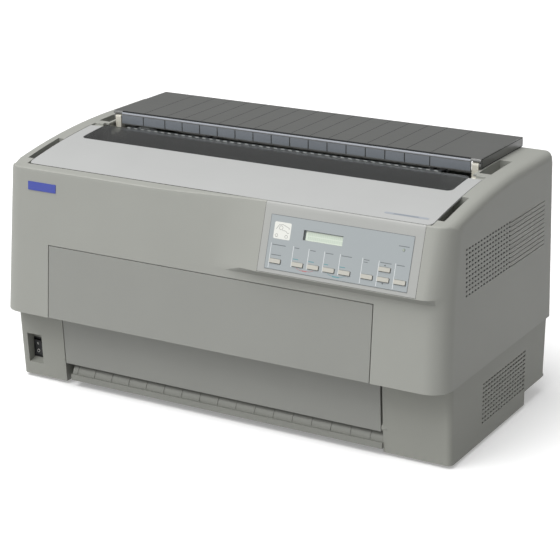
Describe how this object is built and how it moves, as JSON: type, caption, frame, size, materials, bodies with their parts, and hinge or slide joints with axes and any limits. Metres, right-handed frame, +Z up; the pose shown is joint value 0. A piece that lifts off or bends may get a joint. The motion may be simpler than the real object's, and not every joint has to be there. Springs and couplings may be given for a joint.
{
  "type": "dot matrix printer",
  "caption": "Wide-carriage dot matrix printer with a stepped grey case, hinged printer, front and paper eject covers, tilted key panel and tractor paper feed.",
  "frame": {"origin": "bottom centre of the whole machine, on the table", "axes": "+X to the right as seen from the front, -Y to the front, +Z up"},
  "size_m": [0.706, 0.378, 0.3715],
  "materials": {
    "case_plastic": "warm grey ABS, fine spark texture",
    "base_plastic": "warm grey ABS, fine spark texture",
    "cover_plastic": "light grey ABS",
    "smoked_clear": "smoked polycarbonate, polished",
    "key_plastic": "ivory plastic",
    "label_film": "printed film, blue grey",
    "guide_plastic": "dark grey plastic",
    "black_plastic": "black moulded plastic",
    "knob_plastic": "blue plastic",
    "gear_plastic": "natural acetal",
    "plated_steel": "zinc plated sheet and shaft",
    "ground_steel": "ground rod",
    "pinion_brass": "machined brass",
    "motor_metal": "black motor shell",
    "head_metal": "cast aluminium heat sink",
    "board_laminate": "green circuit board",
    "platen_rubber": "hard black rubber",
    "belt_rubber": "black rubber"
  },
  "bodies": {
    "root": {"upper_case": "case_plastic", "lower_case": "base_plastic", "chassis": "plated_steel", "left_frame": "plated_steel", "right_frame": "plated_steel", "front_sill": "base_plastic", "inner_guide": "guide_plastic", "rear_guide": "case_plastic", "exit_guide": "key_plastic", "console_bezel": "case_plastic", "panel_label": "label_film", "panel_board": "board_laminate", "switch_body": "black_plastic", "power_inlet": "black_plastic", "main_board": "board_laminate", "power_supply": "plated_steel", "fan_frame": "black_plastic", "carriage_rods": "ground_steel", "guide_shafts": "ground_steel", "hinge_brackets": "key_plastic", "feet": "belt_rubber", "carriage_motor": "motor_metal", "feed_motor": "motor_metal", "drive_belt": "belt_rubber", "ribbon_cartridge": "black_plastic"},
    "fan_rotor_body": {"fan_rotor": "black_plastic"},
    "ribbon_knob_body": {"ribbon_knob": "knob_plastic"},
    "printer_cover_body": {"printer_cover": "cover_plastic", "cover_window": "smoked_clear"},
    "eject_cover_body": {"eject_cover": "smoked_clear"},
    "front_cover_body": {"front_cover": "case_plastic"},
    "button_1_body": {"button_1": "key_plastic"},
    "button_2_body": {"button_2": "key_plastic"},
    "button_3_body": {"button_3": "key_plastic"},
    "button_4_body": {"button_4": "key_plastic"},
    "button_5_body": {"button_5": "key_plastic"},
    "button_6_body": {"button_6": "key_plastic"},
    "button_7_body": {"button_7": "key_plastic"},
    "button_8_body": {"button_8": "key_plastic"},
    "button_9_body": {"button_9": "key_plastic"},
    "power_rocker_body": {"power_rocker": "black_plastic"},
    "carriage_body": {"carriage": "black_plastic", "print_head": "head_metal"},
    "drive_pulley_body": {"drive_pulley": "ground_steel"},
    "idler_pulley_body": {"idler_pulley": "gear_plastic"},
    "platen_body": {"platen_roller": "platen_rubber", "platen_shaft": "plated_steel"},
    "front_shaft_body": {"front_drive_shaft": "plated_steel"},
    "rear_shaft_body": {"rear_drive_shaft": "plated_steel"},
    "front_idler_body": {"front_idler_gear": "gear_plastic"},
    "rear_idler_body": {"rear_idler_gear": "gear_plastic"},
    "pinion_body": {"motor_pinion": "pinion_brass"},
    "front_tractor_left_body": {"front_tractor_left": "black_plastic"},
    "front_tractor_right_body": {"front_tractor_right": "black_plastic"},
    "rear_tractor_left_body": {"rear_tractor_left": "black_plastic"},
    "rear_tractor_right_body": {"rear_tractor_right": "black_plastic"},
    "front_flap_left_body": {"front_flap_left": "black_plastic"},
    "front_flap_right_body": {"front_flap_right": "black_plastic"},
    "rear_flap_left_body": {"rear_flap_left": "black_plastic"},
    "rear_flap_right_body": {"rear_flap_right": "black_plastic"}
  },
  "joints": [
    {"name": "printer_cover_hinge", "type": "hinge", "parent": "root", "child": "printer_cover_body", "pos_m": [0, 0.002, 0.347], "axis": [-1, 0, 0], "range_deg": [0, 70]},
    {"name": "eject_cover_hinge", "type": "hinge", "parent": "root", "child": "eject_cover_body", "pos_m": [0, 0.036, 0.3615], "axis": [1, 0, 0], "range_deg": [0, 80]},
    {"name": "front_cover_hinge", "type": "hinge", "parent": "root", "child": "front_cover_body", "pos_m": [0, -0.14735, 0.04], "axis": [1, 0, 0], "range_deg": [0, 78]},
    {"name": "button_1_press", "type": "slide", "parent": "root", "child": "button_1_body", "axis": [0, 0.9537, -0.3007], "range_m": [0, 0.0012], "stiffness_N_per_m": 250},
    {"name": "button_2_press", "type": "slide", "parent": "root", "child": "button_2_body", "axis": [0, 0.9537, -0.3007], "range_m": [0, 0.0012], "stiffness_N_per_m": 250},
    {"name": "button_3_press", "type": "slide", "parent": "root", "child": "button_3_body", "axis": [0, 0.9537, -0.3007], "range_m": [0, 0.0012], "stiffness_N_per_m": 250},
    {"name": "button_4_press", "type": "slide", "parent": "root", "child": "button_4_body", "axis": [0, 0.9537, -0.3007], "range_m": [0, 0.0012], "stiffness_N_per_m": 250},
    {"name": "button_5_press", "type": "slide", "parent": "root", "child": "button_5_body", "axis": [0, 0.9537, -0.3007], "range_m": [0, 0.0012], "stiffness_N_per_m": 250},
    {"name": "button_6_press", "type": "slide", "parent": "root", "child": "button_6_body", "axis": [0, 0.9537, -0.3007], "range_m": [0, 0.0012], "stiffness_N_per_m": 250},
    {"name": "button_7_press", "type": "slide", "parent": "root", "child": "button_7_body", "axis": [0, 0.9537, -0.3007], "range_m": [0, 0.0012], "stiffness_N_per_m": 250},
    {"name": "button_8_press", "type": "slide", "parent": "root", "child": "button_8_body", "axis": [0, 0.9537, -0.3007], "range_m": [0, 0.0012], "stiffness_N_per_m": 250},
    {"name": "button_9_press", "type": "slide", "parent": "root", "child": "button_9_body", "axis": [0, 0.9537, -0.3007], "range_m": [0, 0.0012], "stiffness_N_per_m": 250},
    {"name": "power_rocker_tilt", "type": "hinge", "parent": "root", "child": "power_rocker_body", "pos_m": [-0.3285, -0.1368, 0.0445], "axis": [-1, 0, 0], "range_deg": [0, 14]},
    {"name": "carriage_slide", "type": "slide", "parent": "root", "child": "carriage_body", "axis": [1, 0, 0], "range_m": [-0.18, 0.18]},
    {"name": "drive_pulley_spin", "type": "hinge", "parent": "root", "child": "drive_pulley_body", "pos_m": [0.251, -0.044, 0.244], "axis": [0, 0, 1], "range_deg": [-1004, 1004]},
    {"name": "idler_pulley_spin", "type": "hinge", "parent": "root", "child": "idler_pulley_body", "pos_m": [-0.277, -0.044, 0.244], "axis": [0, 0, 1], "range_deg": [-1004, 1004]},
    {"name": "platen_spin", "type": "hinge", "parent": "root", "child": "platen_body", "pos_m": [0, 0.022, 0.296], "axis": [1, 0, 0], "continuous": true},
    {"name": "rear_idler_spin", "type": "hinge", "parent": "root", "child": "rear_idler_body", "pos_m": [0, 0.07, 0.296], "axis": [1, 0, 0], "continuous": true},
    {"name": "rear_shaft_spin", "type": "hinge", "parent": "root", "child": "rear_shaft_body", "pos_m": [0, 0.118, 0.296], "axis": [1, 0, 0], "continuous": true},
    {"name": "front_idler_spin", "type": "hinge", "parent": "root", "child": "front_idler_body", "pos_m": [0, -0.01904, 0.24053], "axis": [1, 0, 0], "continuous": true},
    {"name": "front_shaft_spin", "type": "hinge", "parent": "root", "child": "front_shaft_body", "pos_m": [0, -0.06009, 0.18507], "axis": [1, 0, 0], "continuous": true},
    {"name": "pinion_spin", "type": "hinge", "parent": "root", "child": "pinion_body", "pos_m": [0, 0.02513, 0.21503], "axis": [1, 0, 0], "continuous": true},
    {"name": "front_tractor_left_slide", "type": "slide", "parent": "root", "child": "front_tractor_left_body", "axis": [1, 0, 0], "range_m": [-0.03, 0.03]},
    {"name": "front_flap_left_hinge", "type": "hinge", "parent": "front_tractor_left_body", "child": "front_flap_left_body", "pos_m": [-0.2152, -0.06009, 0.20007], "axis": [0, -1, 0], "range_deg": [0, 95]},
    {"name": "front_tractor_right_slide", "type": "slide", "parent": "root", "child": "front_tractor_right_body", "axis": [1, 0, 0], "range_m": [-0.2, 0.02]},
    {"name": "front_flap_right_hinge", "type": "hinge", "parent": "front_tractor_right_body", "child": "front_flap_right_body", "pos_m": [0.1932, -0.06009, 0.20007], "axis": [0, 1, 0], "range_deg": [0, 95]},
    {"name": "rear_tractor_left_slide", "type": "slide", "parent": "root", "child": "rear_tractor_left_body", "axis": [1, 0, 0], "range_m": [-0.03, 0.03]},
    {"name": "rear_flap_left_hinge", "type": "hinge", "parent": "rear_tractor_left_body", "child": "rear_flap_left_body", "pos_m": [-0.2152, 0.118, 0.311], "axis": [0, -1, 0], "range_deg": [0, 95]},
    {"name": "rear_tractor_right_slide", "type": "slide", "parent": "root", "child": "rear_tractor_right_body", "axis": [1, 0, 0], "range_m": [-0.2, 0.02]},
    {"name": "rear_flap_right_hinge", "type": "hinge", "parent": "rear_tractor_right_body", "child": "rear_flap_right_body", "pos_m": [0.1932, 0.118, 0.311], "axis": [0, 1, 0], "range_deg": [0, 95]},
    {"name": "fan_spin", "type": "hinge", "parent": "root", "child": "fan_rotor_body", "pos_m": [0.346, 0.011, 0.0624], "axis": [1, 0, 0], "continuous": true},
    {"name": "ribbon_knob_spin", "type": "hinge", "parent": "root", "child": "ribbon_knob_body", "pos_m": [-0.161, -0.099, 0.31], "axis": [0, 0, 1], "continuous": true}
  ],
  "couplings": [
    {"joint": "drive_pulley_spin", "follows": "carriage_slide", "rad_per_m": 97.087},
    {"joint": "idler_pulley_spin", "follows": "carriage_slide", "rad_per_m": 97.087},
    {"joint": "rear_idler_spin", "follows": "platen_spin", "ratio": -1.6667},
    {"joint": "rear_shaft_spin", "follows": "platen_spin", "ratio": 1},
    {"joint": "front_idler_spin", "follows": "platen_spin", "ratio": -0.76923},
    {"joint": "front_shaft_spin", "follows": "platen_spin", "ratio": 1},
    {"joint": "pinion_spin", "follows": "platen_spin", "ratio": 2.5}
  ]
}
